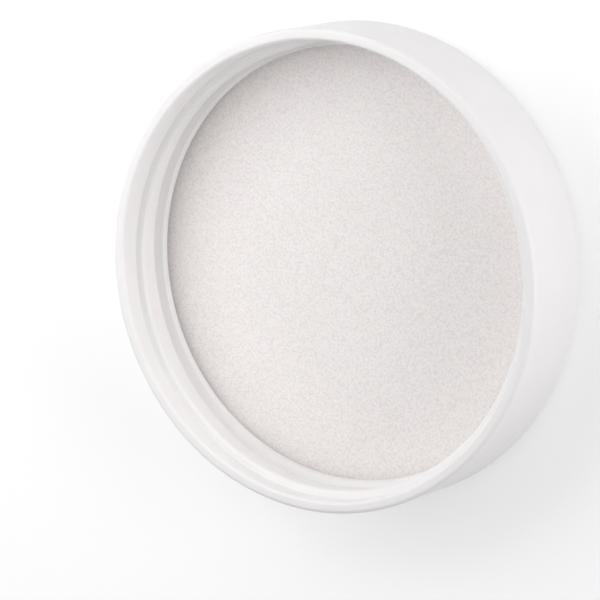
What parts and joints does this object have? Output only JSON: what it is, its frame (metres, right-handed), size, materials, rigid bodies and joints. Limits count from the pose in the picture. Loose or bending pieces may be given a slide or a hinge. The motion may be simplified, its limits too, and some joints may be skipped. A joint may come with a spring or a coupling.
{
  "type": "screw cap",
  "caption": "Plain white moulded screw cap for a wide-mouth jar: smooth straight side, flat closed face with a rounded edge, one-turn inside thread, and a foam sealing liner.",
  "frame": {"origin": "centre of the closed outer face, on which the cap lies; it is the middle of the bounding box's bottom", "axes": "+Z along the cap's own axis, from the closed outer face out of the open mouth; the thread's deep end is 84 degrees round from +X towards +Y"},
  "size_m": [0.074, 0.074, 0.0154],
  "materials": {
    "moulded_plastic": "satin white moulded polypropylene",
    "liner_foam": "matt off-white foamed polyethylene with a fine grain"
  },
  "bodies": {
    "root": {"cap": "moulded_plastic", "liner": "liner_foam"}
  },
  "joints": []
}
